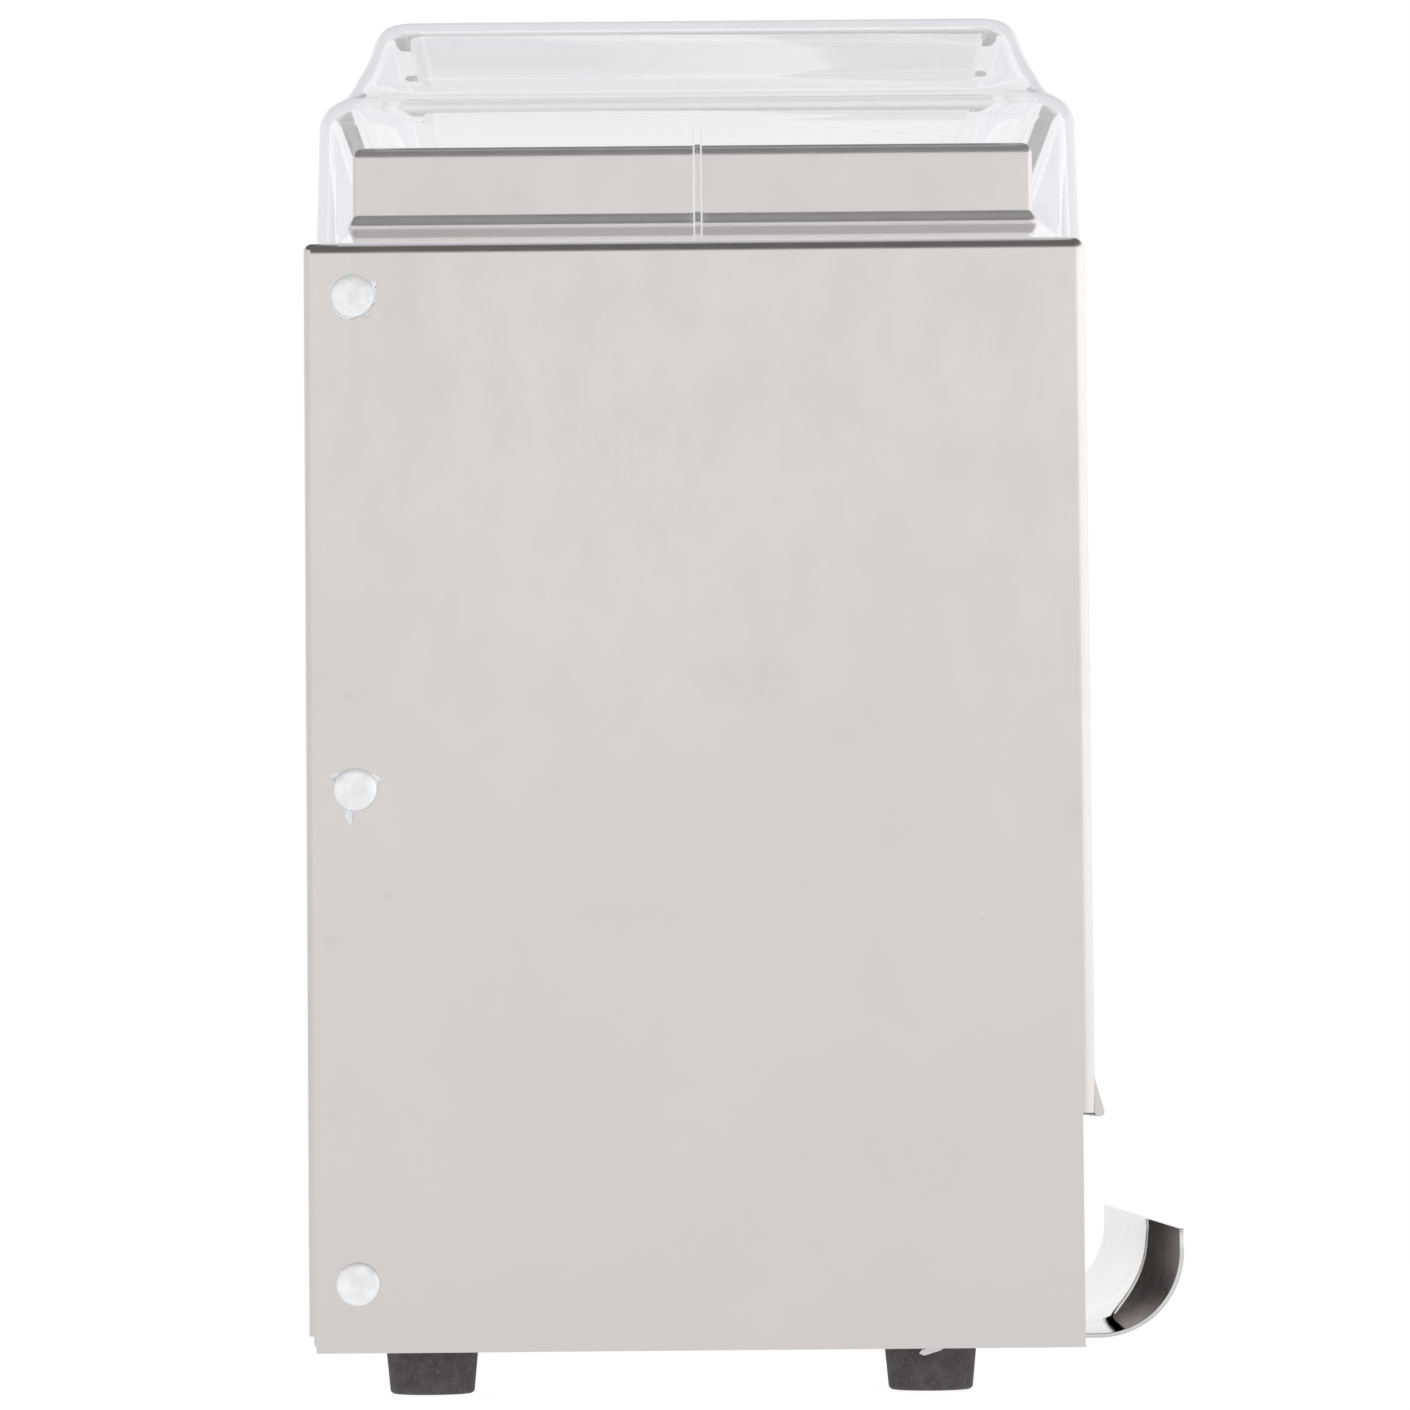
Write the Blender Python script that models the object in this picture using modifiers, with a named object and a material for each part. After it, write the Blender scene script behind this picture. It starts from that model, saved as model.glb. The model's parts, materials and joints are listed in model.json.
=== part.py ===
"""Countertop gravity dispenser: a folded stainless steel cabinet with an inner hopper, a low
front opening over a curved catch, four rubber feet and a clear lift-off lid.

Metres, +Z up. The origin is on the resting surface, under the middle of the whole object.
The front faces -Y and the width runs along X.
"""
import bmesh
import bpy
from math import cos, pi, radians, sin
from mathutils import Matrix, Vector

# Driving dimensions
WIDTH = 0.300
BACK = 0.1170             # rear face of the back panel
FRONT = -0.0950           # front face of the cabinet
BOTTOM = 0.012            # lower edge of the side panels
TOP = 0.312               # top of the cabinet
SHEET = 0.0009            # cabinet sheet thickness
GAP = 0.0003              # clearance between touching pieces
BEND = 0.0034             # outer radius of the cabinet's bends

# Neck that stands up inside the lid
NECK_X = 0.136            # half width over the neck
NECK_FRONT = FRONT + 0.0134
NECK_BACK = BACK - 0.0129
NECK_TOP = 0.340
NECK_FLANGE = 0.008
NECK_HEM = 0.005
NECK_BEND = 0.0016

# Back panel
SIDE_END = BACK - 0.0021  # rear edge of the side panels
BACK_X = WIDTH / 2 - SHEET - 0.0005
BACK_DEPTH = 0.022
BACK_BOTTOM = 0.0165
BACK_TOP_FLANGE = 0.0094
BACK_BEND = 0.0022

# Front opening and lip
LIP_START = 0.0846        # where the front begins to flare out
LIP_BOTTOM = 0.0737
OPENING_TOP = 0.0757      # lower end of the front corner bends
LIP_FLARE = 0.0027
HEM_RADIUS = 0.0009

# Base pan
PAN_X = 0.1473
PAN_BOTTOM = 0.0132
PAN_TOP = PAN_BOTTOM + SHEET
PAN_WALL = 0.0260
PAN_FRONT = FRONT + 0.0055

# Catch
CATCH_SHEET = 0.0012
CATCH_X = WIDTH / 2 - 0.0015
CATCH_RADIUS = 0.0231     # outer radius of the curl
CATCH_CENTRE_Y = FRONT - 0.0003
CATCH_TAIL = FRONT + 0.0335   # rear end of the flat tail
CATCH_TOP = 0.0435
CATCH_FLOOR = PAN_TOP + GAP

# Hopper and chute
LINER_X = NECK_X - SHEET - GAP          # outer face of the hopper's side plates
LINER_TOP = TOP + 0.004
LINER_BOTTOM = 0.0175
CHUTE_X = LINER_X - SHEET - GAP
CHUTE_FLOOR = CATCH_FLOOR + CATCH_SHEET + GAP
CHUTE_HEIGHT = 0.150
CHUTE_FOOT = FRONT + 0.0355   # where the slope meets the floor

# Feet
FOOT_X = 0.126
FOOT_Y = {"rear": BACK - 0.0322, "front": FRONT + 0.0442}
FOOT_TOP_RADIUS = 0.0126
FOOT_BASE_RADIUS = 0.0115
SCREW_RADIUS = 0.0020
HOLE_RADIUS = SCREW_RADIUS + GAP
HEAD_SEAT = 0.0060        # height of the recess that takes the screw's head

# Rivets
RIVET_HEAD = 0.0058
RIVET_Y = SIDE_END - 0.0113
RIVET_Z = {"lower": 0.0305, "middle": 0.1635, "upper": 0.2972}
SMALL_HEAD = 0.0036
BASE_RIVET_X = (-0.100, 0.0, 0.100)
BASE_RIVET_Z = 0.0210
CATCH_RIVET_X = (-0.110, -0.045, 0.045, 0.110)
CATCH_RIVET_Y = FRONT + 0.0205

# Lid
LID_X = WIDTH / 2 - 0.003
LID_FRONT = FRONT + 0.0009
LID_BACK = BACK - 0.0032
LID_RIM = TOP + GAP
LID_WALL = 0.0026
LID_CORNER = 0.0062       # plan radius of the corners
RIB_WIDTH = 0.0024
RIB_DEPTH = 0.0030
RIB_TOP = 0.031
# Outer profile of the lid: how far in from the rim, and how high above it
LID_PROFILE = (
    (0.0000, 0.0000), (0.0009, 0.0300), (0.0013, 0.0340), (0.0028, 0.0374), (0.0052, 0.0398),
    (0.0076, 0.0416), (0.0094, 0.0440), (0.0108, 0.0469), (0.0127, 0.0505), (0.0143, 0.0542),
    (0.0156, 0.0583), (0.0170, 0.0611), (0.0194, 0.0632), (0.0232, 0.0640),
)


# ---------------------------------------------------------------- scene and materials
def clear_scene():
    for obj in list(bpy.data.objects):
        bpy.data.objects.remove(obj, do_unlink=True)


def new_collection(name):
    made = bpy.data.collections.new(name)
    bpy.context.scene.collection.children.link(made)
    return made


def new_material(name, colour, roughness, metallic, alpha=1.0, transmission=0.0):
    made = bpy.data.materials.new(name)
    made.use_nodes = True
    shader = made.node_tree.nodes["Principled BSDF"]
    shader.inputs["Base Color"].default_value = (*colour, 1.0)
    shader.inputs["Roughness"].default_value = roughness
    shader.inputs["Metallic"].default_value = metallic
    shader.inputs["Alpha"].default_value = alpha
    shader.inputs["Transmission Weight"].default_value = transmission
    made.diffuse_color = (*colour, alpha)
    return made


def add_part(name, mesh, material):
    obj = bpy.data.objects.new(name, mesh)
    PARTS.objects.link(obj)
    mesh.materials.append(material)
    return obj


# ---------------------------------------------------------------- shape helpers
def box_bmesh(low, high):
    """A box between two corners."""
    low, high = Vector(low), Vector(high)
    size = high - low
    place = Matrix.Translation((low + high) / 2) @ Matrix.Diagonal((*size, 1.0))
    bm = bmesh.new()
    bmesh.ops.create_cube(bm, size=1.0, matrix=place)
    return bm


def to_mesh(bm, name):
    mesh = bpy.data.meshes.new(name)
    bm.to_mesh(mesh)
    bm.free()
    return mesh


def open_box_mesh(name, low, high, open_sides):
    """A box surface with the faces that point along open_sides left out."""
    bm = box_bmesh(low, high)
    bm.normal_update()
    gone = [f for f in bm.faces if any(f.normal.dot(Vector(side)) > 0.9 for side in open_sides)]
    bmesh.ops.delete(bm, geom=gone, context="FACES")
    return to_mesh(bm, name)


def add_bends(obj, radius, segments=3):
    bends = obj.modifiers.new("bends", "BEVEL")
    bends.width = radius
    bends.segments = segments
    bends.limit_method = "ANGLE"
    bends.angle_limit = radians(40)


def add_thickness(obj, thickness, offset=-1.0):
    shell = obj.modifiers.new("sheet", "SOLIDIFY")
    shell.thickness = thickness
    shell.offset = offset
    shell.use_even_offset = True


def boolean(obj, other, operation="DIFFERENCE"):
    step = obj.modifiers.new(other.name, "BOOLEAN")
    step.operation = operation
    step.object = other


def add_cutter(name, mesh):
    obj = bpy.data.objects.new(name, mesh)
    CUTTERS.objects.link(obj)
    obj.hide_render = True
    obj.display_type = "WIRE"
    return obj


def box_cutter(name, low, high):
    return add_cutter(name, to_mesh(box_bmesh(low, high), name))


def rod_bmesh(radius, length, segments, places):
    """Rods along local Z, one for each placement matrix."""
    bm = bmesh.new()
    for place in places:
        bmesh.ops.create_cone(bm, cap_ends=True, segments=segments, radius1=radius,
                              radius2=radius, depth=length, matrix=place)
    return bm


def rod_cutter(name, radius, length, places):
    return add_cutter(name, to_mesh(rod_bmesh(radius, length, 16, places), name))


def rounded(points, radius, steps=4):
    """The same polyline with an arc of the given radius at each inner corner."""
    out = [Vector(points[0])]
    for before, corner, after in zip(points, points[1:], points[2:]):
        corner = Vector(corner)
        back = (Vector(before) - corner).normalized()
        ahead = (Vector(after) - corner).normalized()
        half = back.angle(ahead) / 2
        reach = radius / sin(half) * cos(half)
        centre = corner + (back + ahead).normalized() * (radius / sin(half))
        start = corner + back * reach - centre
        sweep = start.angle(corner + ahead * reach - centre)
        turn = 1 if back.x * ahead.y - back.y * ahead.x < 0 else -1
        for step in range(steps + 1):
            out.append(centre + Matrix.Rotation(turn * sweep * step / steps, 2) @ start)
    out.append(Vector(points[-1]))
    return out


def arc(centre, radius, start, end, steps):
    """Points on an arc, angles in degrees."""
    angles = [radians(start + (end - start) * n / steps) for n in range(steps + 1)]
    return [(centre[0] + radius * cos(a), centre[1] + radius * sin(a)) for a in angles]


def extruded_mesh(name, points, to_space, along):
    """An open surface: a polyline, put in space by to_space, swept along a vector."""
    bm = bmesh.new()
    verts = [bm.verts.new(to_space(u, v)) for u, v in points]
    edges = [bm.edges.new(pair) for pair in zip(verts, verts[1:])]
    swept = bmesh.ops.extrude_edge_only(bm, edges=edges)["geom"]
    moved = [item for item in swept if isinstance(item, bmesh.types.BMVert)]
    bmesh.ops.translate(bm, verts=moved, vec=along)
    return to_mesh(bm, name)


def cross_sheet(name, points, half_width, thickness, material):
    """A sheet whose bends all run along X; points are (y, z) on its middle surface."""
    mesh = extruded_mesh(name, points, lambda y, z: (-half_width, y, z), (2 * half_width, 0, 0))
    obj = add_part(name, mesh, material)
    add_thickness(obj, thickness, 0.0)
    return obj


def turned_bmesh(profile, segments=24):
    """A solid of revolution about Z from a profile of (radius, z) points."""
    bm = bmesh.new()
    verts = [bm.verts.new((r, 0, z)) for r, z in profile]
    edges = [bm.edges.new(pair) for pair in zip(verts, verts[1:])]
    if profile[0][0] > 0 and profile[-1][0] > 0:
        edges.append(bm.edges.new((verts[-1], verts[0])))
    bmesh.ops.spin(bm, geom=verts + edges, axis=(0, 0, 1), cent=(0, 0, 0), angle=2 * pi,
                   steps=segments, use_merge=True)
    bmesh.ops.remove_doubles(bm, verts=bm.verts, dist=0.00001)
    bmesh.ops.recalc_face_normals(bm, faces=bm.faces)
    return bm


def copies(name, solid, places, material):
    """A node for each placement, all sharing one mesh; places maps a suffix to a matrix."""
    mesh = to_mesh(solid, name)
    mesh.shade_smooth()
    mesh.set_sharp_from_angle(angle=radians(35))
    mesh.materials.append(material)
    made = []
    for suffix, place in places.items():
        obj = bpy.data.objects.new(f"{name}_{suffix}", mesh)
        PARTS.objects.link(obj)
        obj.matrix_world = place
        made.append(obj)
    return made


def rivet_bmesh(head_radius, head_height, shank_radius, grip, segments=24):
    """A rivet along Z: its domed head stands above z = 0 and its tail is below -grip."""
    dome = [(head_radius * cos(a), GAP + head_height * (0.45 + 0.55 * sin(a)))
            for a in (radians(t) for t in (90, 55, 20, 0))]
    dome[0] = (0.0, dome[0][1])
    tail_radius = shank_radius * 1.6
    tail = -grip - GAP
    profile = dome + [
        (head_radius, GAP),
        (shank_radius, GAP),
        (shank_radius, tail),
        (tail_radius, tail),
        (tail_radius * 0.85, tail - 0.0012),
        (0.0, tail - 0.0012),
    ]
    return turned_bmesh(profile, segments)


# ---------------------------------------------------------------- placements
def foot_places(z=0.0):
    return {f"{end}_{side}": Matrix.Translation((sign * FOOT_X, y, z))
            for end, y in FOOT_Y.items() for side, sign in (("left", -1), ("right", 1))}


def side_rivet_places():
    places = {}
    for side, sign in (("left", -1), ("right", 1)):
        turn = Matrix.Rotation(sign * pi / 2, 4, "Y")
        for level, z in RIVET_Z.items():
            places[f"{side}_{level}"] = Matrix.Translation((sign * WIDTH / 2, RIVET_Y, z)) @ turn
    return places


def base_rivet_places():
    turn = Matrix.Rotation(-pi / 2, 4, "X")
    return {str(n): Matrix.Translation((x, BACK, BASE_RIVET_Z)) @ turn
            for n, x in enumerate(BASE_RIVET_X, start=1)}


def catch_rivet_places():
    turn = Matrix.Rotation(pi, 4, "X")
    return {str(n): Matrix.Translation((x, CATCH_RIVET_Y, PAN_BOTTOM)) @ turn
            for n, x in enumerate(CATCH_RIVET_X, start=1)}


# ---------------------------------------------------------------- cabinet
def make_lip():
    """Flared lower edge of the front, with its closed hem turned to the inside."""
    middle = FRONT + SHEET / 2
    hem = (middle - LIP_FLARE + HEM_RADIUS, LIP_BOTTOM + HEM_RADIUS + SHEET / 2)
    points = [(middle, LIP_START + 0.002), (middle, LIP_START)]
    points += arc(hem, HEM_RADIUS, 180, 360, 6)
    points.append((hem[0] + HEM_RADIUS, hem[1] + 0.003))
    half = WIDTH / 2 - BEND - 0.0004
    mesh = extruded_mesh("lip", points, lambda y, z: (-half, y, z), (2 * half, 0, 0))
    lip = add_cutter("lip", mesh)
    add_thickness(lip, SHEET - 0.0001, 0.0)
    return lip


def make_cabinet_wrap(lip):
    """One sheet: both sides, the front and the top flange that the lid rests on."""
    half = WIDTH / 2
    mesh = open_box_mesh("cabinet_wrap", (-half, FRONT, BOTTOM), (half, SIDE_END, TOP),
                         ((0, 0, -1), (0, 1, 0)))
    obj = add_part("cabinet_wrap", mesh, STEEL)
    add_bends(obj, BEND)
    add_thickness(obj, SHEET)
    clear = NECK_BEND + GAP
    boolean(obj, box_cutter("neck_hole", (-NECK_X - clear, NECK_FRONT - clear, TOP - 0.01),
                            (NECK_X + clear, BACK + 0.01, TOP + 0.01)))
    inner = half - SHEET - 0.0001
    boolean(obj, box_cutter("rear_notch", (-inner, BACK - BACK_TOP_FLANGE - GAP, TOP - BEND),
                            (inner, BACK + 0.01, TOP + 0.01)))
    boolean(obj, box_cutter("opening_cut", (-half - 0.01, FRONT - 0.01, 0.0),
                            (half + 0.01, FRONT + BEND, OPENING_TOP)))
    flat = half - BEND
    boolean(obj, box_cutter("lip_cut", (-flat, FRONT - 0.01, LIP_BOTTOM - 0.01),
                            (flat, FRONT + 0.002, LIP_START)))
    boolean(obj, lip, "UNION")
    boolean(obj, SIDE_RIVET_HOLES)
    return obj


def make_back_panel():
    mesh = open_box_mesh("back_panel", (-BACK_X, BACK - BACK_DEPTH, BACK_BOTTOM),
                         (BACK_X, BACK, TOP), ((0, 0, -1), (0, -1, 0)))
    obj = add_part("back_panel", mesh, STEEL)
    add_bends(obj, BACK_BEND)
    add_thickness(obj, SHEET)
    boolean(obj, box_cutter("back_flange_trim", (-WIDTH, BACK - 0.03, TOP - BEND),
                            (WIDTH, BACK - BACK_TOP_FLANGE, TOP + 0.01)))
    boolean(obj, SIDE_RIVET_HOLES)
    boolean(obj, BASE_RIVET_HOLES)
    return obj


def make_base_pan():
    mesh = open_box_mesh("base_pan", (-PAN_X, PAN_FRONT, PAN_BOTTOM),
                         (PAN_X, BACK - SHEET - GAP, PAN_WALL), ((0, 0, 1), (0, -1, 0)))
    obj = add_part("base_pan", mesh, STEEL)
    add_bends(obj, 0.0015)
    add_thickness(obj, SHEET)
    boolean(obj, box_cutter("pan_corners", (-WIDTH, FRONT, PAN_TOP + 0.0001),
                            (WIDTH, CATCH_TAIL + 0.002, PAN_WALL + 0.01)))
    boolean(obj, rod_cutter("foot_holes", HOLE_RADIUS, 0.03, foot_places(PAN_BOTTOM).values()))
    boolean(obj, BASE_RIVET_HOLES)
    boolean(obj, CATCH_RIVET_HOLES)
    return obj


def make_hopper_collar():
    """The neck inside the lid: a rectangular tube, hemmed in at the top, flanged out below."""
    base = TOP - SHEET - GAP
    mesh = open_box_mesh("hopper_collar", (-NECK_X, NECK_FRONT, base), (NECK_X, NECK_BACK, NECK_TOP),
                         ((0, 0, -1),))
    bm = bmesh.new()
    bm.from_mesh(mesh)
    top = [f for f in bm.faces if f.normal.z > 0.9]
    bmesh.ops.inset_region(bm, faces=top, thickness=NECK_HEM)
    bmesh.ops.delete(bm, geom=top, context="FACES")
    rim = [e for e in bm.edges if e.is_boundary and all(v.co.z < TOP for v in e.verts)]
    flange = bmesh.ops.extrude_edge_only(bm, edges=rim)["geom"]
    centre_y = (NECK_FRONT + NECK_BACK) / 2
    for vert in (item for item in flange if isinstance(item, bmesh.types.BMVert)):
        vert.co.x += NECK_FLANGE if vert.co.x > 0 else -NECK_FLANGE
        vert.co.y += NECK_FLANGE if vert.co.y > centre_y else -NECK_FLANGE
    bmesh.ops.recalc_face_normals(bm, faces=bm.faces)
    bm.to_mesh(mesh)
    bm.free()
    obj = add_part("hopper_collar", mesh, STEEL)
    add_bends(obj, NECK_BEND, 2)
    add_thickness(obj, SHEET)
    return obj


# ---------------------------------------------------------------- hopper, chute and catch
def make_hopper_sides():
    """Side plates of the hopper, each with a front flange that closes the gap to the cabinet."""
    rear = NECK_BACK - SHEET - GAP
    flange_y = FRONT + 0.0055
    middle = LINER_X - SHEET / 2
    reach = WIDTH / 2 - SHEET - 0.0006
    for side, sign in (("left", -1), ("right", 1)):
        points = rounded([(sign * middle, rear), (sign * middle, flange_y), (sign * reach, flange_y)],
                         0.0015)
        name = f"hopper_{side}"
        mesh = extruded_mesh(name, points, lambda x, y: (x, y, LINER_BOTTOM),
                             (0, 0, LINER_TOP - LINER_BOTTOM))
        obj = add_part(name, mesh, STEEL)
        add_thickness(obj, SHEET, 0.0)
        boolean(obj, LINER_TRIM)


def make_hopper_front():
    """Plate below the neck's front wall; it leans forward to meet the cabinet above the lip."""
    upright = NECK_FRONT + SHEET + GAP + SHEET / 2
    points = rounded([(upright, LINER_TOP), (upright, 0.135),
                      (FRONT + 0.0072, 0.100), (FRONT + 0.0072, 0.088)], 0.004)
    cross_sheet("hopper_front", points, CHUTE_X, SHEET, STEEL)


def make_hopper_rear():
    upright = NECK_BACK - SHEET - GAP - SHEET / 2
    points = [(upright, LINER_TOP), (upright, CHUTE_HEIGHT - 0.008)]
    cross_sheet("hopper_rear", points, CHUTE_X, SHEET, STEEL)


def make_chute_ramp():
    """The slope that brings the contents forward, with a rear flange and a flat front tail."""
    rear = NECK_BACK - 2 * SHEET - 2 * GAP - SHEET / 2
    floor = CHUTE_FLOOR + SHEET / 2
    points = rounded([(rear, CHUTE_HEIGHT + 0.012), (rear, CHUTE_HEIGHT), (CHUTE_FOOT, floor),
                      (PAN_FRONT, floor)], 0.003)
    obj = cross_sheet("chute_ramp", points, CHUTE_X, SHEET, STEEL)
    boolean(obj, CATCH_RIVET_HOLES)


def make_catch_tray():
    """The curled sheet in front of the opening that holds what has come down."""
    radius = CATCH_RADIUS - CATCH_SHEET / 2
    centre = (CATCH_CENTRE_Y, CATCH_FLOOR + CATCH_RADIUS)
    points = [(CATCH_TAIL, CATCH_FLOOR + CATCH_SHEET / 2)]
    points += arc(centre, radius, 270, 180, 12)
    points.append((CATCH_CENTRE_Y - radius, CATCH_TOP))
    obj = cross_sheet("catch_tray", points, CATCH_X, CATCH_SHEET, POLISHED)
    boolean(obj, CATCH_RIVET_HOLES)
    obj.data.shade_smooth()


# ---------------------------------------------------------------- feet and fasteners
def make_feet():
    top = PAN_BOTTOM - GAP
    profile = [
        (HOLE_RADIUS, top), (FOOT_TOP_RADIUS, top), (FOOT_BASE_RADIUS + 0.0003, 0.0015),
        (FOOT_BASE_RADIUS - 0.0009, 0.0), (0.0062, 0.0), (0.0048, 0.0012),
        (0.0048, HEAD_SEAT), (HOLE_RADIUS, HEAD_SEAT),
    ]
    copies("foot", turned_bmesh(profile, 24), foot_places(), RUBBER)


def make_foot_screws():
    head = HEAD_SEAT - GAP
    profile = [
        (0.0, 0.0205), (0.0014, 0.0205), (SCREW_RADIUS, 0.0198), (SCREW_RADIUS, head),
        (0.0039, head), (0.0039, head - 0.0014), (0.0030, head - 0.0026),
        (0.0014, head - 0.0028), (0.0014, head - 0.0014), (0.0, head - 0.0014),
    ]
    copies("foot_screw", turned_bmesh(profile, 12), foot_places(), ZINC)


def make_foot_washers():
    low, high = PAN_TOP + GAP, PAN_TOP + GAP + 0.0008
    profile = [(HOLE_RADIUS, high), (0.0050, high), (0.0050, low), (HOLE_RADIUS, low)]
    copies("foot_washer", turned_bmesh(profile, 16), foot_places(), ZINC)


def make_foot_nuts():
    low = PAN_TOP + 2 * GAP + 0.0008
    height = 0.0032
    places = foot_places(low + height / 2)
    bores = rod_cutter("nut_bores", HOLE_RADIUS, 0.02, places.values())
    solid = rod_bmesh(0.00404, height, 6, [Matrix.Identity(4)])
    for nut in copies("foot_nut", solid, places, ZINC):
        boolean(nut, bores)


def make_rivets():
    grip = SHEET + 0.0005 + SHEET
    solid = rivet_bmesh(RIVET_HEAD, 0.0014, SCREW_RADIUS, grip, 24)
    copies("side_rivet", solid, side_rivet_places(), ALUMINIUM)
    solid = rivet_bmesh(SMALL_HEAD, 0.0011, 0.0016, 2 * SHEET + GAP, 12)
    copies("base_rivet", solid, base_rivet_places(), ALUMINIUM)
    grip = CHUTE_FLOOR + SHEET - PAN_BOTTOM
    solid = rivet_bmesh(SMALL_HEAD, 0.0009, 0.0016, grip, 12)
    copies("catch_rivet", solid, catch_rivet_places(), ALUMINIUM)


# ---------------------------------------------------------------- lid
def lid_ring(bm, inset, height, steps=4):
    """A rounded rectangle of vertices at one level of the lid."""
    half_x = LID_X - inset - LID_CORNER
    half_y = (LID_BACK - LID_FRONT) / 2 - inset - LID_CORNER
    middle_y = (LID_BACK + LID_FRONT) / 2
    ring = []
    for quarter, (sx, sy) in enumerate(((1, 1), (-1, 1), (-1, -1), (1, -1))):
        for step in range(steps + 1):
            angle = (quarter + step / steps) * pi / 2
            x = sx * half_x + LID_CORNER * cos(angle)
            y = middle_y + sy * half_y + LID_CORNER * sin(angle)
            ring.append(bm.verts.new((x, y, LID_RIM + height)))
    return ring


def make_lid():
    """Clear moulded lid: upright walls, an ogee shoulder and a flat top, with two inner ribs."""
    bm = bmesh.new()
    rings = [lid_ring(bm, inset, height) for inset, height in LID_PROFILE]
    for lower, upper in zip(rings, rings[1:]):
        for n in range(len(lower)):
            after = (n + 1) % len(lower)
            bm.faces.new((lower[n], lower[after], upper[after], upper[n]))
    bm.faces.new(rings[-1])
    bmesh.ops.recalc_face_normals(bm, faces=bm.faces)
    obj = add_part("lid", to_mesh(bm, "lid"), CLEAR)
    add_thickness(obj, LID_WALL)
    middle = (LID_BACK + LID_FRONT) / 2
    for sign in (-1, 1):
        wall = sign * (LID_X - LID_WALL * 0.6 - 0.001)
        inner = wall - sign * (RIB_DEPTH + LID_WALL * 0.4)
        low = (min(wall, inner), middle - RIB_WIDTH / 2, LID_RIM + 0.001)
        high = (max(wall, inner), middle + RIB_WIDTH / 2, LID_RIM + RIB_TOP)
        boolean(obj, box_cutter(f"rib_{'left' if sign < 0 else 'right'}", low, high), "UNION")
    return obj


# ---------------------------------------------------------------- assembly
clear_scene()
PARTS = new_collection("countertop_gravity_dispenser")
CUTTERS = new_collection("cutters")

STEEL = new_material("brushed_steel", (0.69, 0.66, 0.64), 0.34, 1.0)
POLISHED = new_material("polished_steel", (0.72, 0.72, 0.73), 0.12, 1.0)
ALUMINIUM = new_material("rivet_aluminium", (0.80, 0.82, 0.84), 0.45, 1.0)
ZINC = new_material("zinc_plated_steel", (0.62, 0.63, 0.65), 0.40, 1.0)
RUBBER = new_material("foot_rubber", (0.075, 0.065, 0.068), 0.85, 0.0)
CLEAR = new_material("clear_plastic", (0.93, 0.93, 0.96), 0.08, 0.0, alpha=0.3, transmission=1.0)

SIDE_RIVET_HOLES = rod_cutter(
    "side_rivet_holes", HOLE_RADIUS, WIDTH + 0.02,
    [Matrix.Translation((0, RIVET_Y, z)) @ Matrix.Rotation(pi / 2, 4, "Y")
     for z in RIVET_Z.values()])
BASE_RIVET_HOLES = rod_cutter("base_rivet_holes", 0.0019, 0.02, base_rivet_places().values())
CATCH_RIVET_HOLES = rod_cutter("catch_rivet_holes", 0.0019, 0.02, catch_rivet_places().values())
LINER_TRIM = box_cutter("liner_trim", (-WIDTH, FRONT - 0.01, TOP - 0.004),
                        (WIDTH, NECK_FRONT + SHEET + GAP, TOP + 0.02))

make_cabinet_wrap(make_lip())
make_back_panel()
make_base_pan()
make_hopper_collar()
make_hopper_sides()
make_hopper_front()
make_hopper_rear()
make_chute_ramp()
make_catch_tray()
make_feet()
make_foot_screws()
make_foot_washers()
make_foot_nuts()
make_rivets()
make_lid()
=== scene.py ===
"""Looks of the countertop gravity dispenser: finer sheet metal, lid, feet and rivets around the
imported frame, procedural materials, and a white studio."""
import json
import random
from math import cos, pi, radians, sin, tan

import bmesh
import bpy
from mathutils import Matrix, Vector, noise


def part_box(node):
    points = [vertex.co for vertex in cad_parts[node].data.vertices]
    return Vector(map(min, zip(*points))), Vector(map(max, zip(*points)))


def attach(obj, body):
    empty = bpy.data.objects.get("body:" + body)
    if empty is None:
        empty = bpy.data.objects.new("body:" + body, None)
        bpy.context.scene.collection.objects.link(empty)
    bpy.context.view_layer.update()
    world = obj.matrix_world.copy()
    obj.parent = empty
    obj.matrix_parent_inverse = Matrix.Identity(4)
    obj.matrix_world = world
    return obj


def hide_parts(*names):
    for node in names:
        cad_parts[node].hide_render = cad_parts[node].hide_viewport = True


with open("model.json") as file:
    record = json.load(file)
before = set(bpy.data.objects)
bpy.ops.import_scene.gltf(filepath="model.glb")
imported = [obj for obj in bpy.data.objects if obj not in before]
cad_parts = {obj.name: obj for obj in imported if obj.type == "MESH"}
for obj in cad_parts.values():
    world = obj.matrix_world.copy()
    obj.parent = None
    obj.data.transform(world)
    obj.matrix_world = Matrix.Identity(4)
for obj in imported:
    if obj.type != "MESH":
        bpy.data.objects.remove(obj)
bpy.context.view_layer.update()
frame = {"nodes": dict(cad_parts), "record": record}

SHEET = 0.0009
GAP = 0.0003
MM = 0.001
CORNERS = ("front_left", "front_right", "rear_left", "rear_right")
RIVETS = tuple(f"{side}_{level}" for side in ("left", "right") for level in ("lower", "middle", "upper"))


# ---------------------------------------------------------------- camera
# The eye is level with the lip of the front opening, square to the left side of the cabinet.
IMAGE = 1410
EYE_DISTANCE = 1.62        # from the left side panel
EYE_HEIGHT = 0.086
EYE_Y = 0.0133
PIXELS_PER_METRE = 1 / 0.0002693
SENSOR = 36.0
TILT = 2.9
ROLL = -0.5
LOOK_RIGHT = 15            # how far the eye's axis is left of and below the middle of the image
LOOK_UP = 369.5


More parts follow.
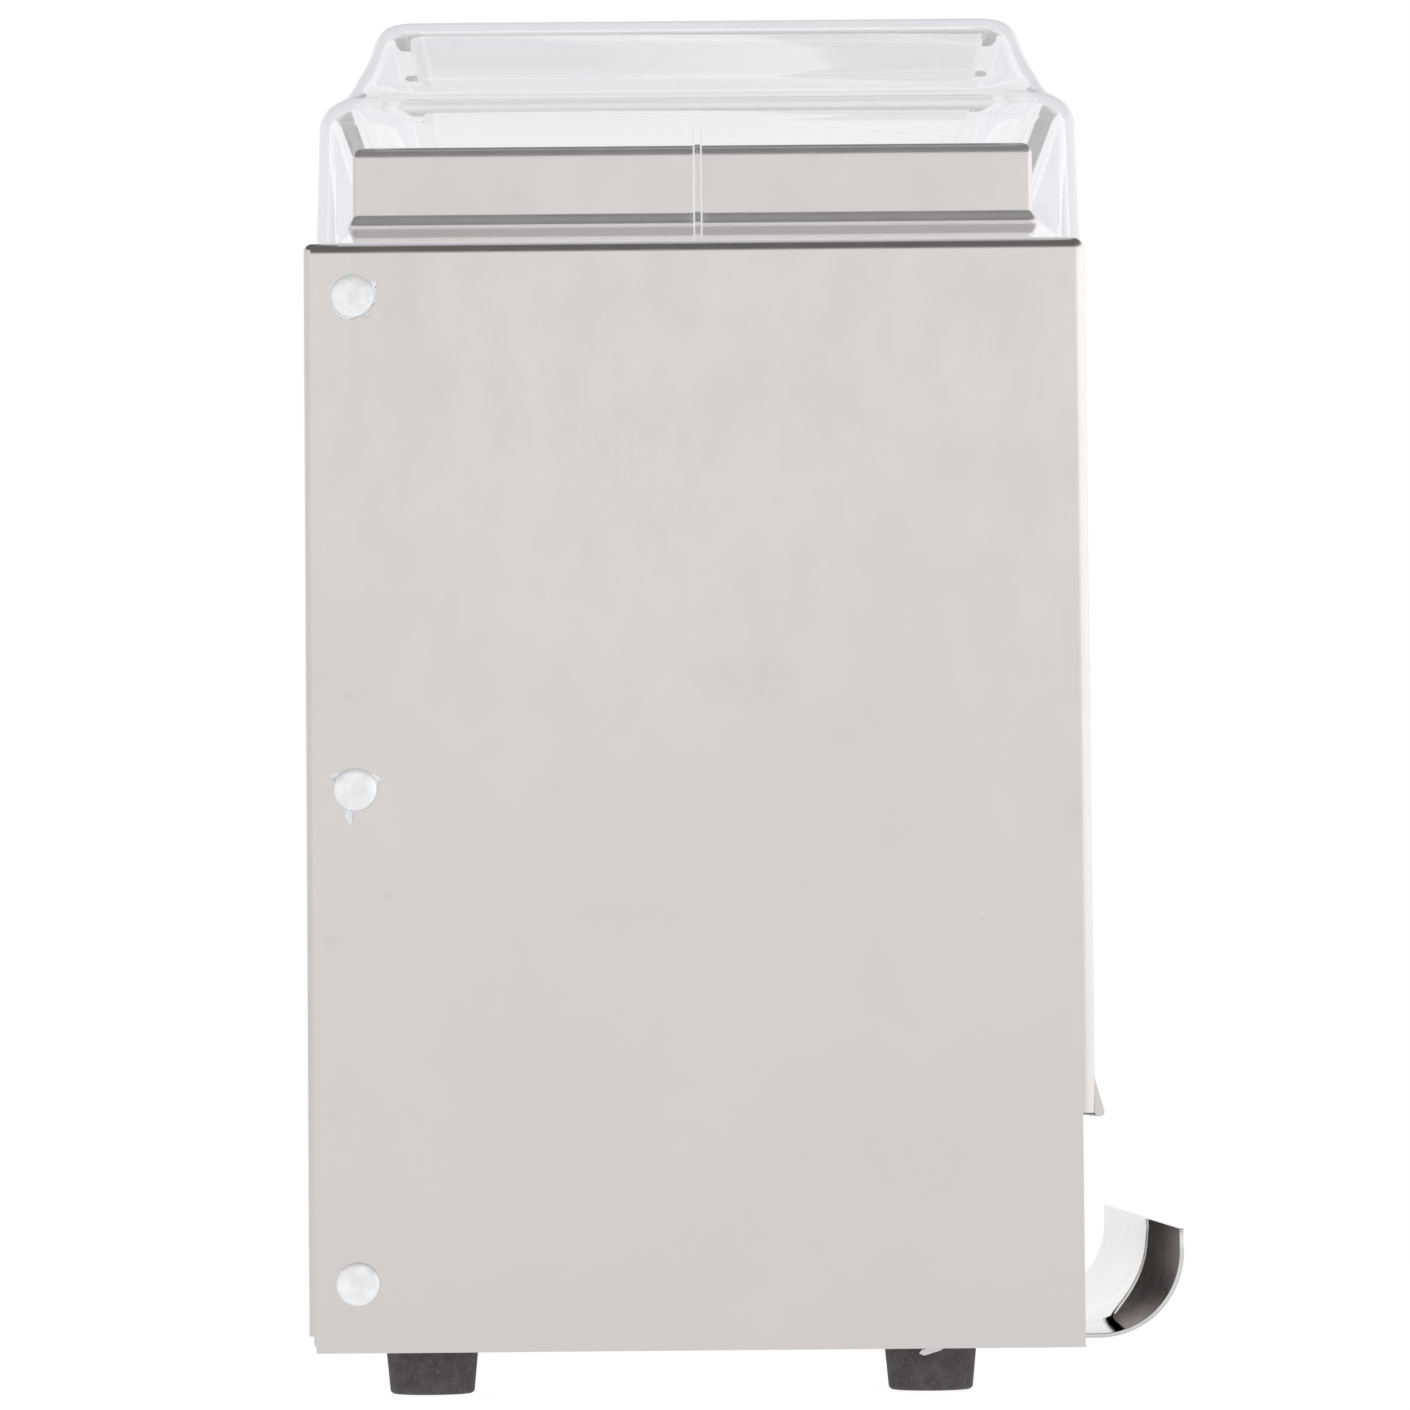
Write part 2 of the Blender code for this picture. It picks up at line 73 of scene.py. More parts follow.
def make_camera():
    wrap_low, wrap_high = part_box("cabinet_wrap")
    focal_pixels = EYE_DISTANCE * PIXELS_PER_METRE
    data = bpy.data.cameras.new("camera")
    data.sensor_width = SENSOR
    data.lens = focal_pixels * SENSOR / IMAGE
    data.shift_x = LOOK_RIGHT / IMAGE
    data.shift_y = (LOOK_UP - tan(radians(TILT)) * focal_pixels) / IMAGE
    data.clip_start = 0.05
    data.clip_end = 100.0
    camera = bpy.data.objects.new("camera", data)
    bpy.context.scene.collection.objects.link(camera)
    look = Vector((cos(radians(TILT)), 0.0, sin(radians(TILT))))
    turn = look.to_track_quat("-Z", "Y").to_matrix().to_4x4()
    camera.matrix_world = (Matrix.Translation((wrap_low.x - EYE_DISTANCE, EYE_Y, EYE_HEIGHT))
                           @ turn @ Matrix.Rotation(radians(ROLL), 4, "Z"))
    bpy.context.scene.camera = camera


# ---------------------------------------------------------------- node helpers
class Nodes:
    """Short way to write a node tree."""

    def __init__(self, tree):
        self.tree = tree

    def add(self, kind, **values):
        node = self.tree.nodes.new(kind)
        for name, value in values.items():
            setattr(node, name, value)
        return node

    def put(self, value, socket):
        if isinstance(value, bpy.types.NodeSocket):
            self.tree.links.new(value, socket)
        else:
            socket.default_value = value

    def math(self, operation, *values):
        node = self.add("ShaderNodeMath", operation=operation)
        for value, socket in zip(values, node.inputs):
            self.put(value, socket)
        return node.outputs[0]

    def range(self, value, low, high, to_low=0.0, to_high=1.0, smooth=True):
        node = self.add("ShaderNodeMapRange")
        node.interpolation_type = "SMOOTHSTEP" if smooth else "LINEAR"
        for given, socket in zip((value, low, high, to_low, to_high), node.inputs):
            self.put(given, socket)
        return node.outputs[0]

    def mix(self, factor, first, second):
        """One colour fading into another."""
        node = self.add("ShaderNodeMix", data_type="RGBA")
        self.put(factor, node.inputs[0])
        self.put(first, node.inputs[6])
        self.put(second, node.inputs[7])
        return node.outputs[2]

    def blend(self, factor, first, second):
        """One shader fading into another."""
        node = self.add("ShaderNodeMixShader")
        for value, socket in zip((factor, first, second), node.inputs):
            self.put(value, socket)
        return node.outputs[0]

    def noise(self, vector, scale, detail=2.0, rough=0.5):
        node = self.add("ShaderNodeTexNoise")
        self.put(vector, node.inputs["Vector"])
        self.put(scale, node.inputs["Scale"])
        self.put(detail, node.inputs["Detail"])
        self.put(rough, node.inputs["Roughness"])
        return node.outputs["Fac"]

    def scaled(self, vector, scale):
        node = self.add("ShaderNodeMapping")
        self.put(vector, node.inputs["Vector"])
        self.put(scale, node.inputs["Scale"])
        return node.outputs["Vector"]

    def place(self):
        return self.add("ShaderNodeTexCoord").outputs["Object"]

    def bump(self, height, strength, distance):
        node = self.add("ShaderNodeBump")
        self.put(height, node.inputs["Height"])
        self.put(strength, node.inputs["Strength"])
        self.put(distance, node.inputs["Distance"])
        return node.outputs["Normal"]


def new_material(name, metallic=0.0, roughness=0.5, colour=(0.8, 0.8, 0.8, 1.0)):
    material = bpy.data.materials.new(name)
    material["slot"] = name
    material.use_nodes = True
    shader = material.node_tree.nodes["Principled BSDF"]
    shader.inputs["Metallic"].default_value = metallic
    shader.inputs["Roughness"].default_value = roughness
    shader.inputs["Base Color"].default_value = colour
    return material, Nodes(material.node_tree), shader


# Wear on the side panels, in metres along Y and Z: places, half sizes or ends, and strength
STAINS = (
    ((0.1037, 0.1890), (0.0030, 0.0022), 0.5), ((0.0956, 0.1356), (0.0026, 0.0034), 0.35),
    ((0.1105, 0.1232), (0.0016, 0.0040), 0.45), ((0.1105, 0.0753), (0.0018, 0.0026), 0.45),
    ((-0.0650, 0.1268), (0.0008, 0.0008), 1.0), ((-0.0020, 0.1920), (0.0200, 0.0080), 0.22),
    ((0.0305, 0.1290), (0.0220, 0.0060), 0.22), ((-0.0895, 0.1560), (0.0040, 0.0070), 0.30),
    ((0.0300, 0.2500), (0.0300, 0.0200), 0.12), ((-0.0500, 0.0600), (0.0250, 0.0160), 0.14),
)
SCRATCHES = (
    ((0.0875, 0.2849), (0.0780, 0.2657), 0.5), ((0.0790, 0.2835), (0.0868, 0.2680), 0.4),
    ((0.0920, 0.0800), (0.0860, 0.0730), 0.5), ((0.0960, 0.0310), (0.0890, 0.0240), 0.4),
    ((0.0150, 0.2200), (-0.0080, 0.2275), 0.25), ((-0.0400, 0.1020), (-0.0620, 0.0930), 0.25),
    ((0.0500, 0.0560), (0.0390, 0.0480), 0.25),
)
SCRATCH_WIDTH = 0.00022


def stain(nodes, y, z, middle, half):
    """1 at a point on the side panels, fading to 0 at the half sizes."""
    across = nodes.math("DIVIDE", nodes.math("SUBTRACT", y, middle[0]), half[0])
    up = nodes.math("DIVIDE", nodes.math("SUBTRACT", z, middle[1]), half[1])
    reach = nodes.math("ADD", nodes.math("MULTIPLY", across, across), nodes.math("MULTIPLY", up, up))
    return nodes.range(reach, 1.0, 0.0)


def scratch(nodes, y, z, start, end):
    """1 along a straight line on the side panels, fading out at its ends."""
    start, end = Vector(start), Vector(end)
    along = (end - start).normalized()
    middle = (start + end) / 2
    dy = nodes.math("SUBTRACT", y, middle.x)
    dz = nodes.math("SUBTRACT", z, middle.y)
    run = nodes.math("ADD", nodes.math("MULTIPLY", dy, along.x), nodes.math("MULTIPLY", dz, along.y))
    off = nodes.math("SUBTRACT", nodes.math("MULTIPLY", dy, along.y), nodes.math("MULTIPLY", dz, along.x))
    thin = nodes.range(nodes.math("ABSOLUTE", off), SCRATCH_WIDTH, 0.0)
    half = (end - start).length / 2
    return nodes.math("MULTIPLY", thin, nodes.range(nodes.math("ABSOLUTE", run), half, half * 0.5))


def wear(nodes, place):
    """Stains and scratches together, broken up by noise."""
    split = nodes.add("ShaderNodeSeparateXYZ")
    nodes.put(place, split.inputs[0])
    y, z = split.outputs[1], split.outputs[2]
    stains, lines = 0.0, 0.0
    for middle, half, strength in STAINS:
        mark = nodes.math("MULTIPLY", stain(nodes, y, z, middle, half), strength)
        stains = nodes.math("MAXIMUM", stains, mark)
    for start, end, strength in SCRATCHES:
        mark = nodes.math("MULTIPLY", scratch(nodes, y, z, start, end), strength)
        lines = nodes.math("MAXIMUM", lines, mark)
    broken = nodes.range(nodes.noise(place, 420.0, 3.0, 0.6), 0.35, 0.62)
    return nodes.math("MULTIPLY", stains, broken), nodes.math("MULTIPLY", lines, broken)


def brushed_steel():
    """Very fine grain that runs level round the cabinet, with fog, stains and light scratches."""
    material, nodes, shader = new_material("brushed_steel", 1.0, 0.2)
    place = nodes.place()
    grain = nodes.noise(nodes.scaled(place, (208.0, 208.0, 5200.0)), 1.0, 3.0, 0.6)
    blotch = nodes.noise(place, 14.0, 4.0, 0.6)
    fog = nodes.noise(nodes.scaled(place, (60.0, 60.0, 35.0)), 1.0, 3.0, 0.65)
    stains, lines = wear(nodes, place)
    tint = nodes.mix(nodes.range(blotch, 0.35, 0.7), (0.722, 0.690, 0.670, 1), (0.706, 0.674, 0.653, 1))
    tint = nodes.mix(nodes.math("MULTIPLY", grain, 0.10), tint, (0.62, 0.59, 0.57, 1))
    tint = nodes.mix(nodes.math("MULTIPLY", stains, 0.35), tint, (0.55, 0.51, 0.48, 1))
    tint = nodes.mix(nodes.math("MULTIPLY", lines, 0.45), tint, (0.50, 0.47, 0.45, 1))
    nodes.put(tint, shader.inputs["Base Color"])
    rough = nodes.math("ADD", nodes.range(fog, 0.3, 0.75, 0.16, 0.24), nodes.math("MULTIPLY", grain, 0.05))
    rough = nodes.math("ADD", rough, nodes.math("MULTIPLY", stains, 0.12))
    nodes.put(rough, shader.inputs["Roughness"])
    nodes.put(nodes.bump(grain, 0.06, 0.00002), shader.inputs["Normal"])
    return material


def polished_steel():
    """Bright finish of the catch, drawn along X."""
    material, nodes, shader = new_material("polished_steel", 1.0, 0.1)
    place = nodes.place()
    grain = nodes.noise(nodes.scaled(place, (30.0, 2500.0, 2500.0)), 1.0, 2.0, 0.5)
    fog = nodes.noise(place, 60.0, 3.0, 0.6)
    tint = nodes.mix(nodes.range(fog, 0.3, 0.7), (0.74, 0.74, 0.75, 1), (0.66, 0.65, 0.65, 1))
    nodes.put(tint, shader.inputs["Base Color"])
    nodes.put(nodes.range(fog, 0.35, 0.8, 0.02, 0.05), shader.inputs["Roughness"])
    nodes.put(nodes.bump(grain, 0.02, 0.00001), shader.inputs["Normal"])
    return material


def aluminium():
    """Matt silvery heads, a little cloudy."""
    material, nodes, shader = new_material("rivet_aluminium", 0.5, 0.4)
    place = nodes.place()
    cloud = nodes.noise(place, 260.0, 3.0, 0.55)
    speck = nodes.noise(place, 2600.0, 2.0, 0.5)
    tint = nodes.mix(nodes.range(cloud, 0.3, 0.7), (0.97, 0.98, 0.99, 1), (0.86, 0.88, 0.90, 1))
    tint = nodes.mix(nodes.range(speck, 0.62, 0.8, 0.0, 0.35), tint, (0.66, 0.69, 0.72, 1))
    nodes.put(tint, shader.inputs["Base Color"])
    nodes.put(nodes.range(cloud, 0.3, 0.7, 0.34, 0.46), shader.inputs["Roughness"])
    nodes.put(nodes.bump(speck, 0.15, 0.00002), shader.inputs["Normal"])
    return material


def zinc():
    """Plated screws, washers and nuts."""
    material, nodes, shader = new_material("zinc_plated_steel", 1.0, 0.35)
    mottle = nodes.noise(nodes.place(), 700.0, 3.0, 0.6)
    tint = nodes.mix(nodes.range(mottle, 0.3, 0.7), (0.60, 0.61, 0.64, 1), (0.50, 0.51, 0.52, 1))
    nodes.put(tint, shader.inputs["Base Color"])
    nodes.put(nodes.range(mottle, 0.3, 0.7, 0.28, 0.42), shader.inputs["Roughness"])
    return material


def rubber():
    """Dark feet, a little purple, with pale dust."""
    material, nodes, shader = new_material("foot_rubber", 0.0, 0.8)
    place = nodes.place()
    speck = nodes.noise(place, 1500.0, 3.0, 0.7)
    dust = nodes.noise(place, 260.0, 4.0, 0.6)
    tint = nodes.mix(nodes.range(dust, 0.35, 0.75), (0.064, 0.054, 0.061, 1), (0.100, 0.086, 0.096, 1))
    tint = nodes.mix(nodes.range(speck, 0.55, 0.72), tint, (0.19, 0.17, 0.18, 1))
    nodes.put(tint, shader.inputs["Base Color"])
    nodes.put(nodes.range(speck, 0.3, 0.7, 0.75, 0.95), shader.inputs["Roughness"])
    nodes.put(nodes.bump(speck, 0.5, 0.0001), shader.inputs["Normal"])
    return material


def clear_plastic():
    """Clear moulding with faint scuffs. Wherever a ray has bounced between the faces of its wall, the
    moulding gives off a fixed pale lavender light instead: a painted glow that shows along the edges."""
    material, nodes, shader = new_material("clear_plastic", 0.0, 0.02, (0.985, 0.985, 0.992, 1))
    shader.inputs["Transmission Weight"].default_value = 1.0
    shader.inputs["IOR"].default_value = 1.5
    place = nodes.place()
    scuff = nodes.noise(nodes.scaled(place, (90.0, 90.0, 90.0)), 1.0, 4.0, 0.7)
    nodes.put(nodes.range(scuff, 0.55, 0.8, 0.01, 0.06), shader.inputs["Roughness"])
    path = nodes.add("ShaderNodeLightPath")
    # Painted glow: an emission of fixed pale lavender light that stands in for the light caught in the
    # wall
    painted_glow = nodes.add("ShaderNodeEmission")
    nodes.put((0.79, 0.79, 0.83, 1), painted_glow.inputs["Color"])
    turned = nodes.math("GREATER_THAN", path.outputs["Glossy Depth"], 1.5)
    inside = nodes.add("ShaderNodeNewGeometry").outputs["Backfacing"]
    first_wall = nodes.math("LESS_THAN", path.outputs["Transmission Depth"], 1.5)
    bounced = nodes.math("GREATER_THAN", path.outputs["Glossy Depth"], 0.5)
    at_once = nodes.math("MULTIPLY", nodes.math("MULTIPLY", bounced, first_wall), inside)
    caught = nodes.math("MAXIMUM", turned, at_once)
    # Where a ray has bounced in the wall, the painted glow takes the place of the clear moulding
    moulding = nodes.blend(caught, shader.outputs[0], painted_glow.outputs[0])
    open_way = nodes.add("ShaderNodeBsdfTransparent")
    surface = nodes.blend(path.outputs["Is Shadow Ray"], moulding, open_way.outputs[0])
    nodes.put(surface, material.node_tree.nodes["Material Output"].inputs["Surface"])
    return material


def film():
    """Shreds of white protective film caught under the rivet heads."""
    material, nodes, shader = new_material("torn_film", 0.0, 0.45)
    wrinkle = nodes.noise(nodes.place(), 1400.0, 4.0, 0.7)
    tint = nodes.mix(nodes.range(wrinkle, 0.3, 0.7), (0.96, 0.97, 0.98, 1), (0.78, 0.81, 0.84, 1))
    nodes.put(tint, shader.inputs["Base Color"])
    nodes.put(nodes.bump(wrinkle, 0.8, 0.0002), shader.inputs["Normal"])
    return material


# ---------------------------------------------------------------- mesh helpers
def link(name, mesh, material, body="cabinet"):
    obj = bpy.data.objects.new(name, mesh)
    bpy.context.scene.collection.objects.link(obj)
    mesh.materials.append(material)
    obj.color = (1, 1, 1, 1)
    if body:
        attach(obj, body)
    return obj


def box_bmesh(low, high):
    low, high = Vector(low), Vector(high)
    place = Matrix.Translation((low + high) / 2) @ Matrix.Diagonal((*(high - low), 1.0))
    bm = bmesh.new()
    bmesh.ops.create_cube(bm, size=1.0, matrix=place)
    return bm


def to_mesh(bm, name):
    mesh = bpy.data.meshes.new(name)
    bm.to_mesh(mesh)
    bm.free()
    return mesh


def open_box_mesh(name, low, high, open_sides):
    bm = box_bmesh(low, high)
    bm.normal_update()
    gone = [f for f in bm.faces if any(f.normal.dot(Vector(side)) > 0.9 for side in open_sides)]
    bmesh.ops.delete(bm, geom=gone, context="FACES")
    return to_mesh(bm, name)


def add_bends(obj, radius, segments=8):
    bends = obj.modifiers.new("bends", "BEVEL")
    bends.width = radius
    bends.segments = segments
    bends.limit_method = "ANGLE"
    bends.angle_limit = radians(40)


def add_thickness(obj, thickness, offset=-1.0):
    shell = obj.modifiers.new("sheet", "SOLIDIFY")
    shell.thickness = thickness
    shell.offset = offset
    shell.use_even_offset = True


def cut(obj, low_or_mesh, high=None, operation="DIFFERENCE"):
    """Cuts a box, or a ready mesh, out of obj, or joins it on, and keeps only the result."""
    mesh = low_or_mesh if high is None else to_mesh(box_bmesh(low_or_mesh, high), "cutter")
    cutter = bpy.data.objects.new("cutter", mesh)
    bpy.context.scene.collection.objects.link(cutter)
    step = obj.modifiers.new("cut", "BOOLEAN")
    step.operation = operation
    step.object = cutter
    bake(obj)
    bpy.data.objects.remove(cutter)


def bake(obj):
    """Replaces a piece's mesh by its evaluated one and drops the modifiers."""
    bpy.context.view_layer.update()
    graph = bpy.context.evaluated_depsgraph_get()
    mesh = bpy.data.meshes.new_from_object(obj.evaluated_get(graph))
    obj.modifiers.clear()
    obj.data = mesh


def smooth(obj, angle=32):
    obj.data.shade_smooth()
    obj.data.set_sharp_from_angle(angle=radians(angle))


def flat_faces_first(obj):
    """Keeps large flat faces flat where a rounded bend meets them."""
    weigh = obj.modifiers.new("normals", "WEIGHTED_NORMAL")
    weigh.keep_sharp = True
    weigh.weight = 100


def arc(centre, radius, start, end, steps):
    angles = [radians(start + (end - start) * n / steps) for n in range(steps + 1)]
    return [(centre[0] + radius * cos(a), centre[1] + radius * sin(a)) for a in angles]


def swept_mesh(name, points, half_width):
    """An open surface: a (y, z) polyline swept along X."""
    bm = bmesh.new()
    verts = [bm.verts.new((-half_width, y, z)) for y, z in points]
    edges = [bm.edges.new(pair) for pair in zip(verts, verts[1:])]
    swept = bmesh.ops.extrude_edge_only(bm, edges=edges)["geom"]
    moved = [item for item in swept if isinstance(item, bmesh.types.BMVert)]
    bmesh.ops.translate(bm, verts=moved, vec=(2 * half_width, 0, 0))
    return to_mesh(bm, name)


def prism_mesh(outline, x, depth):
    """A solid plate with a (y, z) outline, from x inwards along X."""
    bm = bmesh.new()
    face = bm.faces.new([bm.verts.new((x, y, z)) for y, z in outline])
    out = bmesh.ops.extrude_face_region(bm, geom=[face])["geom"]
    moved = [item for item in out if isinstance(item, bmesh.types.BMVert)]
    bmesh.ops.translate(bm, verts=moved, vec=(depth, 0, 0))
    bmesh.ops.recalc_face_normals(bm, faces=bm.faces)
    return to_mesh(bm, "plate")


def join_mesh(obj, mesh):
    """Adds a loose closed piece to a finished mesh."""
    bm = bmesh.new()
    bm.from_mesh(obj.data)
    bm.from_mesh(mesh)
    bm.to_mesh(obj.data)
    bm.free()


def turned_mesh(name, profile, segments=64):
    bm = bmesh.new()
    verts = [bm.verts.new((r, 0, z)) for r, z in profile]
    edges = [bm.edges.new(pair) for pair in zip(verts, verts[1:])]
    if profile[0][0] > 0 and profile[-1][0] > 0:
        edges.append(bm.edges.new((verts[-1], verts[0])))
    bmesh.ops.spin(bm, geom=verts + edges, axis=(0, 0, 1), cent=(0, 0, 0), angle=2 * pi,
                   steps=segments, use_merge=True)
    bmesh.ops.remove_doubles(bm, verts=bm.verts, dist=0.000002)
    bmesh.ops.recalc_face_normals(bm, faces=bm.faces)
    return to_mesh(bm, name)


def rounded_ring(bm, low, high, inset, z, radius, steps=10):
    """A rounded rectangle of vertices at one level."""
    centre = (low + high) / 2
    half = (high - low) / 2
    ring = []
    for quarter, (sx, sy) in enumerate(((1, 1), (-1, 1), (-1, -1), (1, -1))):
        for step in range(steps + 1):
            angle = (quarter + step / steps) * pi / 2
            x = centre.x + sx * (half.x - inset - radius) + radius * cos(angle)
            y = centre.y + sy * (half.y - inset - radius) + radius * sin(angle)
            ring.append(bm.verts.new((x, y, z)))
    return ring


def join_rings(bm, rings):
    for lower, upper in zip(rings, rings[1:]):
        for n in range(len(lower)):
            after = (n + 1) % len(lower)
            bm.faces.new((lower[n], lower[after], upper[after], upper[n]))


# ---------------------------------------------------------------- cabinet
BEND = 0.0034
BACK_BEND = 0.0022
BACK_TOP_FLANGE = 0.0094
NECK_FLANGE = 0.008
NECK_CLEARANCE = 0.0019    # from the neck's wall to the edge of its hole
PAN_SETBACK = 0.0055       # from the cabinet's front to the side guide plates
WELL_PAST = 0.01           # how far a cutter stands out from the piece it cuts
LIP_BOTTOM = 0.0737
LIP_START = 0.0846
LIP_FLARE = 0.0027
OPENING_TOP = 0.0748
HEM_RADIUS = 0.0009
END_PLATE = 0.0012         # thickness of the closed ends of the lip
CORNER_PLATE = 0.0006      # height of the small plates that close the cut corner bends


def lip_points(front):
    """The (y, z) line of the flared lip, from the flat front down and round its hem."""
    middle = front + SHEET / 2
    hem = (middle - LIP_FLARE + HEM_RADIUS, LIP_BOTTOM + HEM_RADIUS + SHEET / 2)
    points = [(middle, LIP_START + 0.002), (middle, LIP_START), (middle - 0.0001, LIP_START - 0.0006)]
    points += arc(hem, HEM_RADIUS, 180, 360, 14)
    points.append((hem[0] + HEM_RADIUS, hem[1] + 0.003))
    return points


def add_lip(obj, steel, front, half):
    """Joins the lip on below the front, and closes its ends and the cut corner bends."""
    flat = half - BEND
    points = lip_points(front)
    lip = link("lip", swept_mesh("lip", points, flat - 0.0004), steel, body=None)
    add_thickness(lip, SHEET - 0.0001, 0.0)
    bake(lip)
    cut(obj, lip.data.copy(), operation="UNION")
    bpy.data.objects.remove(lip)
    bake(obj)
    inner_corner = (front + SHEET / 2 + 0.0004, LIP_BOTTOM + 2 * HEM_RADIUS + SHEET / 2)
    closing = points[1:-1] + [inner_corner]
    near, far = front + 0.0009, front + BEND
    low, high = OPENING_TOP, OPENING_TOP + CORNER_PLATE
    corner = [(near, low), (far, low), (far, high), (near, high)]
    for sign in (-1, 1):
        join_mesh(obj, prism_mesh(closing, sign * (flat - 0.0003), -sign * END_PLATE))
        join_mesh(obj, prism_mesh(corner, sign * (half - 0.0011), -sign * 0.0028))


def make_wrap(steel):
    """Both sides, the front and the top flange as one folded sheet, with the flared lip."""
    low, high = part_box("cabinet_wrap")
    half = high.x
    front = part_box("hopper_left")[0].y - PAN_SETBACK + SHEET / 2
    name = "cabinet_wrap_sheet"
    obj = link(name, open_box_mesh(name, (-half, front, low.z), (half, high.y, high.z),
                                   ((0, 0, -1), (0, 1, 0))), steel)
    add_bends(obj, BEND)
    add_thickness(obj, SHEET)
    neck_low, neck_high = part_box("hopper_collar")
    margin = NECK_FLANGE - NECK_CLEARANCE
    cut(obj, (neck_low.x + margin, neck_low.y + margin, high.z - WELL_PAST),
        (neck_high.x - margin, high.y + 2 * WELL_PAST, high.z + WELL_PAST))
    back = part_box("back_panel")[1].y
    inner = half - SHEET - 0.0001
    cut(obj, (-inner, back - BACK_TOP_FLANGE - GAP, high.z - BEND),
        (inner, back + WELL_PAST, high.z + WELL_PAST))
    cut(obj, (-half - WELL_PAST, front - WELL_PAST, 0.0),
        (half + WELL_PAST, front + BEND, OPENING_TOP))
    flat = half - BEND
    cut(obj, (-flat, front - WELL_PAST, LIP_BOTTOM - WELL_PAST), (flat, front + 0.002, LIP_START))
    add_lip(obj, steel, front, half)
    smooth(obj)
    flat_faces_first(obj)
    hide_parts("cabinet_wrap")


def make_back(steel):
    """The back, with its side returns and its short top flange."""
    low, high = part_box("back_panel")
    name = "back_panel_sheet"
    obj = link(name, open_box_mesh(name, low, high, ((0, 0, -1), (0, -1, 0))), steel)
    add_bends(obj, BACK_BEND)
    add_thickness(obj, SHEET)
    cut(obj, (low.x - WELL_PAST, low.y - WELL_PAST, high.z - BEND),
        (high.x + WELL_PAST, high.y - BACK_TOP_FLANGE, high.z + WELL_PAST))
    smooth(obj)
    flat_faces_first(obj)
    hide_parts("back_panel")


NECK_HEM = 0.005
NECK_BEND = 0.0016
NECK_SHOULDER = 0.0034
BEAD_MIDDLE = 0.0070       # above the top of the cabinet
BEAD_HALF = 0.0034
BEAD_PROUD = 0.0013
BEAD_STEPS = 16


def neck_profile(top, neck_top):
    """How far out from the neck's wall, and how high, from the flange's edge to the hem's."""
    points = [(NECK_FLANGE, top)]
    foot = (NECK_BEND, top + NECK_BEND)
    points += [(out, z) for out, z in arc(foot, NECK_BEND, 270, 180, 6)]
    for step in range(BEAD_STEPS + 1):
        share = 2 * step / BEAD_STEPS - 1
        out = BEAD_PROUD * (0.5 + 0.5 * cos(pi * share))
        points.append((out, top + BEAD_MIDDLE + BEAD_HALF * share))
    shoulder = (-NECK_SHOULDER, neck_top - NECK_SHOULDER)
    points += arc(shoulder, NECK_SHOULDER, 0, 90, 10)
    points.append((-NECK_HEM, neck_top))
    return points


def make_collar(steel):
    """The neck that shows through the lid: flanged out below, beaded, and hemmed in at the top."""
    low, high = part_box("hopper_collar")
    low_wall = low + Vector((NECK_FLANGE, NECK_FLANGE, 0))
    high_wall = high - Vector((NECK_FLANGE, NECK_FLANGE, 0))
    name = "hopper_collar_sheet"
    bm = bmesh.new()
    rings = [rounded_ring(bm, low_wall, high_wall, -out, z, max(NECK_BEND + out, 0.0004), 6)
             for out, z in neck_profile(low.z + SHEET, high.z)]
    join_rings(bm, rings)
    obj = link(name, to_mesh(bm, name), steel)
    add_thickness(obj, SHEET)
    bake(obj)
    smooth(obj)
    flat_faces_first(obj)
    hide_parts("hopper_collar")


CATCH_SHEET = 0.0012
CATCH_RADIUS = 0.0231
CATCH_EDGE = 0.0002


def make_catch(material):
    """The flat tail, the quarter turn and the short upright of the catch, with eased edges."""
    low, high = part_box("catch_tray")
    radius = CATCH_RADIUS - CATCH_SHEET / 2
    centre = (low.y + CATCH_RADIUS, low.z + CATCH_RADIUS)
    points = [(high.y, low.z + CATCH_SHEET / 2)]
    points += arc(centre, radius, 270, 180, 40)
    points.append((low.y + CATCH_SHEET / 2, high.z))
    name = "catch_sheet"
    obj = link(name, swept_mesh(name, points, high.x), material)
    add_thickness(obj, CATCH_SHEET, 0.0)
    edge = obj.modifiers.new("edge", "BEVEL")
    edge.width = CATCH_EDGE
    edge.segments = 2
    edge.limit_method = "ANGLE"
    edge.angle_limit = radians(60)
    bake(obj)
    smooth(obj, 40)
    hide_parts("catch_tray")


# ---------------------------------------------------------------- feet and rivets
FOOT_TAPER = 0.0011
FOOT_CORNER = 0.0013
SHANK = 0.0020
RIVET_TALL = 0.0014
RIVET_GRIP = 2 * SHEET + 0.0005 + GAP
DENT = 0.00012


def frame_half():
    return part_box("cabinet_wrap")[1].x


def make_feet(material):
    """Tapered bumper feet with a rounded rim and a hollow for the screw's head."""
    for corner in CORNERS:
        low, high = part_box(f"foot_{corner}")
        wide = (high.x - low.x) / 2
        narrow = wide - FOOT_TAPER
        profile = [(0.0023, high.z), (wide, high.z), (narrow, FOOT_CORNER)]
        profile += arc((narrow - FOOT_CORNER, FOOT_CORNER), FOOT_CORNER, -10, -90, 6)
        profile += [(0.0062, 0.0), (0.0048, 0.0012), (0.0048, 0.006), (0.0023, 0.006)]
        mesh = turned_mesh(f"bumper_{corner}", profile)
        mesh.transform(Matrix.Translation(((low.x + high.x) / 2, (low.y + high.y) / 2, 0.0)))
        obj = link(f"bumper_{corner}", mesh, material)
        smooth(obj, 40)
        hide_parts(f"foot_{corner}")


def rivet_profile(head):
    """The (radius, height) line of a rivet: a flat dome, the shank, and the upset tail."""
    profile = [(0.0, GAP + RIVET_TALL)]
    for turn in (12, 25, 38, 50, 62, 74, 84, 90):
        out = head * sin(radians(turn)) ** 0.8
        profile.append((out, GAP + RIVET_TALL * (0.45 + 0.55 * cos(radians(turn)))))
    profile += [(head - 0.0001, GAP + 0.0003), (head - 0.0004, GAP), (SHANK, GAP)]
    profile += [(SHANK, -RIVET_GRIP), (0.0032, -RIVET_GRIP)]
    profile += [(0.0027, -RIVET_GRIP - 0.0012), (0.0, -RIVET_GRIP - 0.0012)]
    return profile


